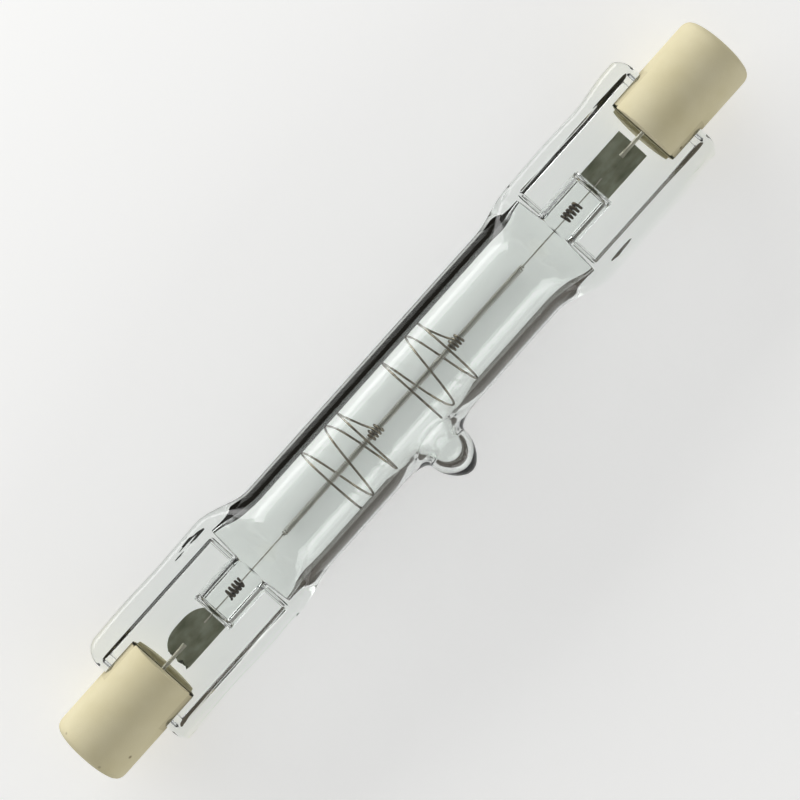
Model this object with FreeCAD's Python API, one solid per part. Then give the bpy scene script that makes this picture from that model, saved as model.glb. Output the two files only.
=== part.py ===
"""Double-ended linear halogen lamp, in millimetres.

A fused quartz tube is pressed flat at both ends round a molybdenum foil. A slotted ceramic cap is cemented
over each press, and an exhaust tip is sealed off on one side. The lamp lies along X, its press faces look
along Z, and the exhaust tip points to -Y. The origin is on the tube's axis, midway between the contacts.
"""
import FreeCAD, Part
import math
import os

from FreeCAD import Vector

# Whole lamp
contact_distance = 74.9
contact_recess = 1.7

# Round tube and its shoulders
tube_diameter = 9.3
tube_wall = 0.93
shoulder_length = 4.8
cavity_end_height = 0.7
cavity_end_width = 8.6
cavity_end_gap = 0.1

# Pressed ends, an H in section: a thin web between two thick beads
press_length = 14.2
press_width = 11.4
press_height = 3.2
press_shift = 0.3
bead_radius = 1.3
press_corner_radius = 2.0
press_corner_overhang = 0.4
web_thickness = 1.9
web_width = 8.1
web_wall_slope = 0.3
web_start = 0.5

# Raised glass on the web, round the narrow end of the gas space
boss_length = 4.6
boss_width = 3.3
boss_height = 2.9
boss_slope = 0.25
channel_length = 3.1
channel_diameter = 1.25

# Exhaust tip
tip_offset = -0.45
tip_height = 3.55
tip_neck_height = 0.75
tip_neck_diameter = 4.1
tip_fullness = 0.8
tip_wall = 0.75
tip_end_wall = 1.3
tip_blend_radius = 1.3

# Ceramic caps
cap_diameter = 7.0
cap_length = 9.65
cap_end_bevel = 0.9
cap_edge_bevel = 0.2
slot_height = 3.7
slot_depth = 3.9
press_depth_in_cap = 3.5
recess_diameter = 3.8
recess_mouth_bevel = 0.25
cement_setback = 0.25

# Contact buttons, a disc on a hollow stem
disc_diameter = 3.2
disc_thickness = 0.6
disc_edge_bevel = 0.2
disc_clearance = 0.05
stem_diameter = 1.3
stem_length = 2.0
stem_clearance = 0.02

# Leads and foils
lead_diameter = 0.35
lead_overlap = 1.5
lead_clearance = 0.02
foil_length = 4.9
foil_width = 3.1
foil_thickness = 0.04
foil_end_gap = 4.5
weld_sink = 0.05

# Filament
coil_diameter = 0.55
coil_end_gap = 3.9
leg_diameter = 0.12
leg_overlap = 1.0
leg_weld_sink = 0.02

# Spiral supports
support_count = 2
support_offset = 1.5
support_wire_diameter = 0.28
support_grip_clearance = 0.03
support_grip_turns = 3.5
support_grip_pitch = 0.33
support_flare_turns = 0.35
support_flare_reach = 1.5
support_loop_turns = 2.5
support_closed_turns = 0.3
support_loop_reach = 4.5
support_wall_clearance = 0.25

# How finely curves are laid out, and how far a cut runs past the surface it opens
side_arc_end = 40.0
top_arc_start = 58.0
shoulder_steps = 5
tip_steps = 4
support_points_per_turn = 12
support_wire_sides = 6
cut_margin = 1.0
tip_edge_margin = 0.05
flat_tolerance = 0.000001

# Places that follow from those sizes
contact_face = contact_distance / 2
cap_mouth = contact_face + contact_recess
cap_inner_end = cap_mouth - cap_length
cap_radius = cap_diameter / 2
slot_end = cap_inner_end + slot_depth
disc_back = contact_face - disc_thickness
tube_radius = tube_diameter / 2
bore_radius = tube_radius - tube_wall
tip_end = tube_radius + tip_height
tip_neck_end = tube_radius + tip_neck_height
press_end = cap_inner_end + press_depth_in_cap
press_start = press_end - press_length
tube_end = press_start - shoulder_length
web_face = web_thickness / 2
foil_outer_end = press_end - foil_end_gap
foil_inner_end = foil_outer_end - foil_length
foil_top = weld_sink - lead_diameter / 2
coil_end = press_start - coil_end_gap

ORIGIN = Vector(0, 0, 0)
AXIS_X = Vector(1, 0, 0)
AXIS_Y = Vector(0, 1, 0)
AXIS_Z = Vector(0, 0, 1)


def other_end(shape):
    """Returns the shape's mirror image at the lamp's other end."""
    return shape.mirror(ORIGIN, AXIS_X)


def ease(part):
    """Goes from 0 to 1 with a level start and end."""
    part = min(max(part, 0.0), 1.0)
    return part * part * (3 - 2 * part)


def quarter_points(radius, width, height, corner, part):
    """Returns five points of a quarter outline in Y and Z: side, corner start, middle and end, and top.

    At part 0 they lie on a circle, at part 1 on a flat bar with rounded corners, and between on their blend.
    """
    circle = []
    for degrees in (0.0, side_arc_end, (side_arc_end + top_arc_start) / 2, top_arc_start, 90.0):
        turn = math.radians(degrees)
        circle.append((radius * math.cos(turn), radius * math.sin(turn)))
    bend = corner * math.sqrt(0.5)
    y_centre, z_centre = width / 2 - corner, height / 2 - corner
    bar = [
        (width / 2, 0.0),
        (width / 2, z_centre),
        (y_centre + bend, z_centre + bend),
        (y_centre, height / 2),
        (0.0, height / 2),
    ]
    return [(y0 + (y1 - y0) * part, z0 + (z1 - z0) * part) for (y0, z0), (y1, z1) in zip(circle, bar)]


def arc_or_line(start, middle, end):
    """Returns the edge through three points, straight where they are in line."""
    if (middle - start).cross(end - start).Length < flat_tolerance:
        return Part.makeLine(start, end)
    return Part.Arc(start, middle, end).toShape()


def outline_wire(quarter):
    """Returns the closed outline across the lamp's middle, its quarter mirrored into the other three."""
    side, first, corner, last, top = quarter
    ring = [(first[0], -first[1]), side, first, corner, last, top]
    ring += [(-y, z) for y, z in (last, corner, first, side)]
    ring += [(-first[0], -first[1]), (-corner[0], -corner[1]), (-last[0], -last[1])]
    ring += [(0.0, -top[1]), (last[0], -last[1]), (corner[0], -corner[1]), ring[0]]
    points = [Vector(0, y, z) for y, z in ring]
    return Part.Wire([arc_or_line(*points[k:k + 3]) for k in range(0, len(points) - 2, 2)])


def glass_body(radius, width_end, height_end, corner_end, end):
    """Returns a round rod that flattens over both shoulders and ends as a flat bar at x = +end and -end.

    The right-hand bar is shifted to -Y and the left-hand one to +Y, as the jaws squeezed the soft glass aside.
    """
    shoulder_end = min(press_start, end)
    step = (shoulder_end - tube_end) / shoulder_steps
    stations = [(tube_end + step * k, ease(k / shoulder_steps)) for k in range(shoulder_steps + 1)]
    if end > shoulder_end:
        stations.append((end, 1.0))
    left, right = [], []
    for x, part in stations:
        outline = outline_wire(quarter_points(radius, width_end, height_end, corner_end, part))
        place = Vector(x, -press_shift * part, 0)
        right.append(outline.translated(place))
        left.append(outline.translated(place * -1))
    return Part.makeLoft(left[::-1] + right, True, True)


def tapered_block(low, high, z_low, z_high):
    """Returns a block that tapers in plan from low at z_low to high at z_high.

    Each plan is given as its start and end in X and its half width.
    """
    outlines = []
    for (x_start, x_end, half_width), z in ((low, z_low), (high, z_high)):
        corners = [
            Vector(x_start, -half_width, z),
            Vector(x_end, -half_width, z),
            Vector(x_end, half_width, z),
            Vector(x_start, half_width, z),
        ]
        outlines.append(Part.makePolygon(corners + corners[:1]))
    return Part.makeLoft(outlines, True, True)


def make_web_groove():
    """Returns what the press jaw clears above the right-hand web, with the raised boss left standing."""
    top = press_height / 2 + cut_margin
    spread = web_wall_slope * (top - web_face) / (press_height / 2 - web_face)
    start = press_start + web_start
    far = press_end + cut_margin
    floor = (start, far, web_width / 2)
    opening = (start - spread, far, web_width / 2 + spread)
    groove = tapered_block(floor, opening, web_face, top)
    boss_end = press_start + boss_length
    foot = (tube_end, boss_end, boss_width / 2 + boss_slope)
    crown = (tube_end, boss_end - boss_slope, boss_width / 2)
    return groove.cut(tapered_block(foot, crown, web_face, boss_height / 2))


def make_tip(side_wall, end_wall):
    """Returns the exhaust tip as a turned drop along -Y, thinner by side_wall and shorter by end_wall.

    Below its neck the radius falls off as a power of a quarter cosine wave, which ends in a blunt point.
    """
    reach = tip_end - end_wall
    neck = tip_neck_diameter / 2 - side_wall
    root = bore_radius - tube_wall
    outline = [(0.0, root), (neck, root)]
    for k in range(tip_steps):
        part = k / tip_steps
        radius = neck * math.cos(math.pi / 2 * part) ** tip_fullness
        outline.append((radius, tip_neck_end + (reach - tip_neck_end) * part))
    outline.append((0.0, reach))
    corners = [Vector(tip_offset + radius, -down, 0) for radius, down in outline]
    face = Part.Face(Part.makePolygon(corners + corners[:1]))
    return face.revolve(Vector(tip_offset, 0, 0), AXIS_Y, 360)


def is_tip_joint(edge):
    """Tells whether an edge lies where the exhaust tip leaves the tube."""
    box = edge.BoundBox
    on_tube = box.YMax < 0 and box.YMin > -tube_radius - tip_edge_margin
    return on_tube and tip_edge_margin < box.XLength < 1.5 * tip_neck_diameter


def make_press_plan():
    """Returns a tall block with rounded upright edges, which trims the corners of the pressed ends."""
    half_width = press_width / 2 + press_corner_overhang
    corner = Vector(-press_end, -half_width, -tube_diameter)
    block = Part.makeBox(2 * press_end, 2 * half_width, 2 * tube_diameter, corner)
    upright = [edge for edge in block.Edges if edge.BoundBox.ZLength > tube_diameter]
    return block.makeFillet(press_corner_radius, upright)


def make_outer_glass():
    """Returns the outside of the quartz as a solid: tube, shoulders, pressed ends and exhaust tip."""
    body = glass_body(tube_radius, press_width, press_height, bead_radius, press_end)
    body = body.common(make_press_plan())
    body = body.fuse(make_tip(0.0, 0.0))
    body = body.makeFillet(tip_blend_radius, [edge for edge in body.Edges if is_tip_joint(edge)])
    upper = make_web_groove()
    lower = upper.mirror(ORIGIN, AXIS_Z)
    for groove in (upper, lower, other_end(upper), other_end(lower)):
        body = body.cut(groove)
    return body


def make_hollow():
    """Returns the gas space: the bore, the tip's inside and a narrow channel into each press."""
    corner = cavity_end_height / 2 - flat_tolerance
    end = press_start - cavity_end_gap
    bore = glass_body(bore_radius, cavity_end_width, cavity_end_height, corner, end)
    reach = press_start + channel_length
    channel = Part.makeCylinder(channel_diameter / 2, 2 * reach, Vector(-reach, 0, 0), AXIS_X)
    return bore.multiFuse([channel, make_tip(tip_wall, tip_end_wall)])


def make_foil():
    """Returns the right-hand sealing foil, which lies just under the wires welded on it."""
    corner = Vector(foil_inner_end, -foil_width / 2, foil_top - foil_thickness)
    return Part.makeBox(foil_length, foil_width, foil_thickness, corner)


def make_lead(foil):
    """Returns the right-hand outer lead, from its flat weld on the foil to the back of the contact's disc."""
    start = foil_outer_end - lead_overlap
    end = disc_back - lead_clearance
    lead = Part.makeCylinder(lead_diameter / 2, end - start, Vector(start, 0, 0), AXIS_X)
    return lead.cut(foil)


def make_filament(foils):
    """Returns the filament: the coil as a rod of its outer diameter, and a straight leg to each foil."""
    coil = Part.makeCylinder(coil_diameter / 2, 2 * coil_end, Vector(-coil_end, 0, 0), AXIS_X)
    reach = foil_inner_end + leg_overlap
    height = foil_top + leg_diameter / 2 - leg_weld_sink
    legs = Part.makeCylinder(leg_diameter / 2, 2 * reach, Vector(-reach, 0, height), AXIS_X)
    return coil.fuse(legs).removeSplitter().cut(Part.makeCompound(foils))


def support_points(grip_middle):
    """Returns the points along the middle of a support's wire.

    Tight turns grip the coil. From their far end the wire swings out to the tube's wall and comes back along
    the coil in wide turns, of which a share at each end stays upright like a spring's closed end.
    """
    grip_radius = (coil_diameter + support_wire_diameter) / 2 + support_grip_clearance
    loop_radius = bore_radius - support_wall_clearance - support_wire_diameter / 2
    start = grip_middle - support_grip_turns * support_grip_pitch / 2
    loops_from = support_grip_turns + support_flare_turns
    turns = loops_from + support_loop_turns
    count = math.ceil(turns * support_points_per_turn)
    closed_from = turns - support_closed_turns
    open_from = loops_from + support_closed_turns
    points = []
    for k in range(count + 1):
        turn = turns * k / count
        flare = ease((turn - support_grip_turns) / support_flare_turns)
        back = ease((turn - open_from) / (closed_from - open_from))
        advance = min(turn, support_grip_turns) * support_grip_pitch
        x = start + advance - support_flare_reach * flare - support_loop_reach * back
        radius = grip_radius + (loop_radius - grip_radius) * flare
        angle = 2 * math.pi * (turn - loops_from)
        points.append(Vector(x, radius * math.cos(angle), radius * math.sin(angle)))
    return points


def make_support(grip_middle):
    """Returns one spiral support: a many-sided outline swept along its wire, mitred at each point."""
    points = support_points(grip_middle)
    across = FreeCAD.Rotation(AXIS_X, points[1] - points[0])
    corners = []
    for side in range(support_wire_sides):
        turn = 2 * math.pi * side / support_wire_sides
        corner = Vector(0, math.cos(turn), math.sin(turn)) * (support_wire_diameter / 2)
        corners.append(points[0] + across.multVec(corner))
    outline = Part.makePolygon(corners + corners[:1])
    return Part.makePolygon(points).makePipeShell([outline], True, False, 1)


def turned(outline):
    """Returns the solid turned about the X axis from an outline of x and radius."""
    corners = [Vector(x, radius, 0) for x, radius in outline]
    return Part.Face(Part.makePolygon(corners + corners[:1])).revolve(ORIGIN, AXIS_X, 360)


def slot_block(start):
    """Returns a block as high as the cap's slot, from start to the slot's end and wider than the cap."""
    corner = Vector(start, -cap_diameter, -slot_height / 2)
    return Part.makeBox(slot_end - start, 2 * cap_diameter, slot_height, corner)


def make_cap():
    """Returns the right-hand ceramic cap, with a slot for the press and a recess at the mouth.

    The recess ends level with the contact's face, and the contact's disc and stem sit in bores below it.
    """
    half_bevel = cap_end_bevel * (1 - math.sqrt(0.5))
    stem_bore = stem_diameter / 2 + stem_clearance
    disc_bore = disc_diameter / 2 + disc_clearance
    recess = recess_diameter / 2
    cap = turned((
        (cap_inner_end, stem_bore),
        (cap_inner_end, cap_radius - cap_edge_bevel),
        (cap_inner_end + cap_edge_bevel, cap_radius),
        (cap_mouth - cap_end_bevel, cap_radius),
        (cap_mouth - half_bevel, cap_radius - half_bevel),
        (cap_mouth, cap_radius - cap_end_bevel),
        (cap_mouth, recess + recess_mouth_bevel),
        (cap_mouth - recess_mouth_bevel, recess),
        (contact_face, recess),
        (contact_face, disc_bore),
        (disc_back, disc_bore),
        (disc_back, stem_bore),
    ))
    return cap.cut(slot_block(cap_inner_end - cut_margin))


def make_cement(glass, lead):
    """Returns the cement that fills the right-hand slot round the glass, flush with the cap."""
    start = cap_inner_end + cement_setback
    plug = Part.makeCylinder(cap_radius, slot_end - start, Vector(start, 0, 0), AXIS_X)
    return plug.common(slot_block(start)).cut(glass).cut(lead)


def make_contact():
    """Returns the right-hand contact, a round disc with a hollow stem round the lead."""
    stem_start = disc_back - stem_length
    lead_hole = lead_diameter / 2 + lead_clearance
    disc = disc_diameter / 2
    return turned((
        (stem_start, lead_hole),
        (stem_start, stem_diameter / 2),
        (disc_back, stem_diameter / 2),
        (disc_back, disc),
        (contact_face - disc_edge_bevel, disc),
        (contact_face, disc - disc_edge_bevel),
        (contact_face, 0.0),
        (disc_back, 0.0),
        (disc_back, lead_hole),
    ))


def save(name, shape):
    """Writes one piece as parts/NAME.step."""
    shape.exportStep(f"parts/{name}.step")
    print(f"{name}: {len(shape.Solids)} solid, {shape.Volume:.2f} cubic mm, valid {shape.isValid()}")


def main():
    """Builds every piece of the lamp and writes it to its own file."""
    os.makedirs("parts", exist_ok=True)
    foil = make_foil()
    lead = make_lead(foil)
    filament = make_filament([foil, other_end(foil)])
    glass = make_outer_glass().cut(make_hollow())
    sealed_in = [foil, other_end(foil), lead, other_end(lead), filament]
    save("quartz_envelope", glass.cut(Part.makeCompound(sealed_in)))
    save("filament", filament)
    pieces = {
        "ceramic_cap": make_cap(),
        "cap_cement": make_cement(glass, lead),
        "contact": make_contact(),
        "outer_lead": lead,
        "sealing_foil": foil,
    }
    for name, piece in pieces.items():
        save(f"{name}_right", piece)
        save(f"{name}_left", other_end(piece))
    spacing = 2 * coil_end / (support_count + 1)
    for k in range(support_count):
        middle = (k - (support_count - 1) / 2) * spacing + support_offset
        save(f"support_spiral_{k + 1}", make_support(middle))


main()
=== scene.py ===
"""Double-ended linear halogen lamp, dressed for the camera.

The lamp lies along X on a pale floor, its pressed faces look up along Z, and its exhaust tip points to -Y.
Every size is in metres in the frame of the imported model.
"""
import logging
import math
from dataclasses import dataclass, field
from enum import Enum

import bpy
import numpy as np
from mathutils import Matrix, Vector


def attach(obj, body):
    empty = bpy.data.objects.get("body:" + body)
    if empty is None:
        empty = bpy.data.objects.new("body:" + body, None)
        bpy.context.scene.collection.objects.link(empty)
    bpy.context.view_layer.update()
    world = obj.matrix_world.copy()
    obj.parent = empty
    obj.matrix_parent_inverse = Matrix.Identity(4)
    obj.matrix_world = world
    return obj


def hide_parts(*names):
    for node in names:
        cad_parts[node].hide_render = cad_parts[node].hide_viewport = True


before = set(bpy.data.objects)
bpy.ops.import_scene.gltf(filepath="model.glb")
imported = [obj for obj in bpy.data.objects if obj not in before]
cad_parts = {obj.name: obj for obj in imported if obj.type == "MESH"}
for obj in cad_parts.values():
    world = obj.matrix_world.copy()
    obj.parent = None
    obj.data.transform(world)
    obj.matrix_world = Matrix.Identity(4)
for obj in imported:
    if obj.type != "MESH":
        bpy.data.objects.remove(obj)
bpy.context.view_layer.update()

MM = 0.001
TAU = 2 * math.pi
SAME_SPOT = 1e-7  # Corners of an outline that are nearer than this are one.
IN_PLANE = 1e-9  # A column whose sine is under this lies in the middle plane.
GRIP_MIDDLES = (-3.466667 * MM, 6.466667 * MM)  # Where the two supports grip the coil, from left to right.
LOG = logging.getLogger("lamp")


class End(Enum):
    """The two ends of the lamp, each with the sign of its X."""

    LEFT = -1
    RIGHT = 1

    @property
    def word(self) -> str:
        """The end's name in lower case."""
        return self.name.lower()


class Shape(Enum):
    """Texture nodes that the finishes choose from."""

    GRAIN = "ShaderNodeTexNoise"
    CELLS = "ShaderNodeTexVoronoi"


def linear(code: str) -> tuple[float, float, float, float]:
    """Turns an sRGB hex colour into a linear one.

    Args:
        code: six hex digits after a hash.

    Returns:
        Red, green, blue and an alpha of one.
    """
    parts = [int(code[k:k + 2], 16) / 255 for k in (1, 3, 5)]
    low_or_high = [p / 12.92 if p <= 0.04045 else ((p + 0.055) / 1.055) ** 2.4 for p in parts]
    return (*low_or_high, 1.0)


def add_node(tree: bpy.types.NodeTree, kind: str, settings: dict, links: dict) -> bpy.types.Node:
    """Adds one shader node.

    Args:
        tree: the node tree that takes it.
        kind: the node's type name.
        settings: a value for each property or input socket, by name or socket number.
        links: an output socket for each input socket, by name or socket number.

    Returns:
        The new node.
    """
    node = tree.nodes.new(kind)
    for name, value in settings.items():
        if isinstance(name, str) and hasattr(node, name):
            setattr(node, name, value)
        else:
            node.inputs[name].default_value = value
    for name, source in links.items():
        tree.links.new(source, node.inputs[name])
    return node


def surface_tree(name: str) -> tuple[bpy.types.Material, bpy.types.NodeTree]:
    """Starts an empty material.

    Args:
        name: the material's name.

    Returns:
        The material and its node tree.
    """
    material = bpy.data.materials.new(name)
    material.use_nodes = True
    material.node_tree.nodes.clear()
    return material, material.node_tree


def ease(part: np.ndarray) -> np.ndarray:
    """Goes from 0 to 1 with a level start and end: three squares less two cubes."""
    part = np.clip(part, 0.0, 1.0)
    return part * part * (3 - 2 * part)


def grid_faces(rows: int, columns: int) -> np.ndarray:
    """Joins a grid of points, closed from its last column to its first, into four-sided faces.

    Args:
        rows: how many rows the grid has.
        columns: how many points each row has.

    Returns:
        One line of four point numbers for each face, indexed by row and column.
    """
    row, column = np.meshgrid(np.arange(rows - 1), np.arange(columns), indexing="ij")
    after = (column + 1) % columns
    low, high = row * columns, (row + 1) * columns
    return np.stack([low + column, low + after, high + after, high + column], axis=-1)


def ring_fan(ring: np.ndarray, middle: int) -> np.ndarray:
    """Closes a ring of points with three-sided faces round one more point.

    Args:
        ring: the point numbers in order.
        middle: the number of the point in the middle.

    Returns:
        One line of three point numbers for each face.
    """
    return np.stack([ring, np.roll(ring, -1), np.full_like(ring, middle)], axis=-1)


def spokes(turn: np.ndarray) -> np.ndarray:
    """Gives the directions straight out from the lamp's axis at the given turns from +Y to +Z."""
    return np.stack([0 * turn, np.cos(turn), np.sin(turn)], axis=-1)


def on_axis(x: np.ndarray) -> np.ndarray:
    """Gives the points of the lamp's axis at the given places along X."""
    return np.stack([x, 0 * x, 0 * x], axis=-1)


def make_piece(name: str, points: np.ndarray, faces: list, sharp_above: float = 40.0) -> bpy.types.Object:
    """Makes a mesh object at the origin from points and faces, smooth but for its sharp edges.

    Args:
        name: the piece's name.
        points: one line of X, Y and Z for each point.
        faces: lists of point numbers.
        sharp_above: edges that turn by more degrees than this stay sharp.

    Returns:
        The new object.
    """
    mesh = bpy.data.meshes.new(name)
    mesh.from_pydata(points.reshape(-1, 3).tolist(), [], faces)
    mesh.shade_smooth()
    mesh.set_sharp_from_angle(angle=math.radians(sharp_above))
    piece = bpy.data.objects.new(name, mesh)
    bpy.context.scene.collection.objects.link(piece)
    return piece


def dress(piece: bpy.types.Object, material: bpy.types.Material, slot: str, *nodes: str) -> None:
    """Gives a piece its material, lets it ride on the lamp and hides the solids that it stands for.

    Args:
        piece: the object.
        material: what it is made of.
        slot: the record's material slot; not used.
        nodes: the names of the solids that it replaces.
    """
    piece.data.materials.append(material)
    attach(piece, "root")
    if nodes:
        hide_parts(*nodes)
    LOG.info("%s: %d faces", piece.name, len(piece.data.polygons))


def wire_mesh(path: np.ndarray, outward: np.ndarray, radius: np.ndarray | float,
              sides: int) -> tuple[np.ndarray, list]:
    """Sweeps a round wire along a path.

    At each point the wire's circle lies in the plane across the path. Its first axis is the given outward
    direction less its share along the path, and its second is the cross product of the path with the first.

    Args:
        path: the points along the wire's middle.
        outward: a direction for each point, never along the path.
        radius: the wire's radius, or one for each point.
        sides: points round the wire.

    Returns:
        The points and the faces, with both ends closed.
    """
    along = np.gradient(path, axis=0)
    along /= np.linalg.norm(along, axis=1, keepdims=True)
    first = outward - along * np.sum(outward * along, axis=1, keepdims=True)
    first /= np.linalg.norm(first, axis=1, keepdims=True)
    second = np.cross(along, first)
    turn = np.linspace(0, TAU, sides, endpoint=False)[None, :, None]
    thick = np.broadcast_to(radius, len(path))[:, None, None]
    points = path[:, None] + thick * (np.cos(turn) * first[:, None] + np.sin(turn) * second[:, None])
    faces = grid_faces(len(path), sides).reshape(-1, 4).tolist()
    start = np.arange(sides)
    faces += [start[::-1].tolist(), (start + (len(path) - 1) * sides).tolist()]
    return points.reshape(-1, 3), faces


def turned_mesh(outline: np.ndarray, end: End, sides: int, ring: bool) -> tuple[np.ndarray, list]:
    """Turns an outline about the lamp's axis.

    Each point keeps its place along X and runs round the axis at its radius. The outline goes out across
    the side that faces the lamp's end and then back towards the middle, so that the faces point outwards.

    Args:
        outline: one line of distance from the lamp's middle and radius for each corner.
        end: the lamp's end, which mirrors the outline.
        sides: points round the axis.
        ring: true where the outline closes on itself, and false where both its ends close on the axis.

    Returns:
        The points and the faces of a closed solid.
    """
    turn = np.linspace(0, TAU, sides, endpoint=False)
    x = np.repeat(outline[:, :1], sides, axis=1) * end.value
    y, z = outline[:, 1:] * np.cos(turn), outline[:, 1:] * np.sin(turn)
    points = np.stack([x, y, z], axis=-1).reshape(-1, 3)
    count = len(points)
    faces = (grid_faces(len(outline) + ring, sides).reshape(-1, 4) % count)[:, ::-end.value].tolist()
    if not ring:
        first = np.arange(sides)
        middles = [[outline[0, 0] * end.value, 0, 0], [outline[-1, 0] * end.value, 0, 0]]
        points = np.concatenate([points, middles])
        faces += ring_fan(first, count)[:, ::end.value].tolist()
        faces += ring_fan(first + count - sides, count + 1)[:, ::-end.value].tolist()
    return points, faces


def rounded(corners: list, steps: int) -> np.ndarray:
    """Rounds the corners of an outline.

    A corner with a radius becomes a curve that starts and ends that far from it along its two sides. The
    curve is the weighted mean of start, corner and end, with weights from the square of the way along it.

    Args:
        corners: distance from the lamp's middle, radius from its axis and corner radius, one line each.
        steps: points on each curve.

    Returns:
        One line of distance and radius for each point.
    """
    rows = np.array(corners, float)
    spots, radii = rows[:, :2], rows[:, 2:]
    back = np.roll(spots, 1, axis=0) - spots
    on = np.roll(spots, -1, axis=0) - spots
    start = spots + back / np.linalg.norm(back, axis=1, keepdims=True) * radii
    finish = spots + on / np.linalg.norm(on, axis=1, keepdims=True) * radii
    way = np.linspace(0, 1, steps)[None, :, None]
    middle = 2 * way * (1 - way) * spots[:, None]
    curve = (1 - way) ** 2 * start[:, None] + middle + way ** 2 * finish[:, None]
    flat = curve.reshape(-1, 2)
    keep = np.linalg.norm(flat - np.roll(flat, 1, axis=0), axis=1) > SAME_SPOT
    return flat[keep]


@dataclass(frozen=True)
class FusedQuartz:
    """Blown and pressed fused quartz: clear, with a faint green-grey cast where rays cross many walls."""

    tint: str = "#F5F8F6"
    ior: float = 1.458
    roughness: float = 0.0
    ripples_per_metre: float = 450.0
    ripple_mm: float = 0.04
    ripple_strength: float = 0.12

    def material(self) -> bpy.types.Material:
        """Returns the glass, whose shallow ripples come from the press and are about 2 mm apart."""
        material, tree = surface_tree("fused_quartz")
        spot = add_node(tree, "ShaderNodeTexCoord", {}, {}).outputs["Object"]
        size = {"Scale": self.ripples_per_metre, "Detail": 2.0}
        ripple = add_node(tree, Shape.GRAIN.value, size, {"Vector": spot})
        relief = {"Strength": self.ripple_strength, "Distance": self.ripple_mm * MM}
        bump = add_node(tree, "ShaderNodeBump", relief, {"Height": ripple.outputs[0]})
        glass = add_node(
            tree,
            "ShaderNodeBsdfPrincipled",
            {
                "Base Color": linear(self.tint),
                "Roughness": self.roughness,
                "IOR": self.ior,
                "Transmission Weight": 1.0,
            },
            {"Normal": bump.outputs[0]},
        )
        add_node(tree, "ShaderNodeOutputMaterial", {}, {"Surface": glass.outputs[0]})
        return material


@dataclass(frozen=True)
class FiredCeramic:
    """Pressed and fired powder: matt, with a fine grit, faint clouds of colour and a few dark specks."""

    name: str
    pale: str
    deep: str
    speck: str
    grit_mm: float
    relief_mm: float
    roughness: float
    relief_strength: float = 0.5
    clouds_per_metre: float = 260.0
    cells_per_metre: float = 520.0
    speck_edge: tuple[float, float] = (0.04, 0.12)
    bare_share: float = 0.88

    def material(self) -> bpy.types.Material:
        """Returns the ceramic: clouds mix two tones, small cells place the specks, and grit roughens it."""
        material, tree = surface_tree(self.name)
        spot = add_node(tree, "ShaderNodeTexCoord", {}, {}).outputs["Object"]
        size = {"Scale": self.clouds_per_metre, "Detail": 4.0}
        clouds = add_node(tree, Shape.GRAIN.value, size, {"Vector": spot})
        body = add_node(
            tree,
            "ShaderNodeMix",
            {"data_type": "RGBA", 6: linear(self.pale), 7: linear(self.deep)},
            {0: clouds.outputs[0]},
        )
        cells = add_node(tree, Shape.CELLS.value, {"Scale": self.cells_per_metre}, {"Vector": spot})
        core, rim = self.speck_edge
        near = add_node(
            tree,
            "ShaderNodeMapRange",
            {"From Min": core, "From Max": rim, "To Min": 1.0, "To Max": 0.0},
            {"Value": cells.outputs["Distance"]},
        )
        pick = add_node(tree, "ShaderNodeSeparateColor", {}, {"Color": cells.outputs["Color"]})
        rare = add_node(
            tree, "ShaderNodeMath", {"operation": "GREATER_THAN", 1: self.bare_share}, {0: pick.outputs[0]}
        )
        mark = add_node(
            tree, "ShaderNodeMath", {"operation": "MULTIPLY"}, {0: near.outputs[0], 1: rare.outputs[0]}
        )
        colour = add_node(
            tree,
            "ShaderNodeMix",
            {"data_type": "RGBA", 7: linear(self.speck)},
            {0: mark.outputs[0], 6: body.outputs[2]},
        )
        grit = add_node(
            tree, Shape.GRAIN.value, {"Scale": 1000.0 / self.grit_mm, "Detail": 3.0}, {"Vector": spot}
        )
        relief = {"Strength": self.relief_strength, "Distance": self.relief_mm * MM}
        bump = add_node(tree, "ShaderNodeBump", relief, {"Height": grit.outputs[0]})
        shader = add_node(
            tree,
            "ShaderNodeBsdfPrincipled",
            {"Roughness": self.roughness, "IOR": 1.5, "Specular IOR Level": 0.3},
            {"Base Color": colour.outputs[2], "Normal": bump.outputs[0]},
        )
        add_node(tree, "ShaderNodeOutputMaterial", {}, {"Surface": shader.outputs[0]})
        return material


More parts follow.
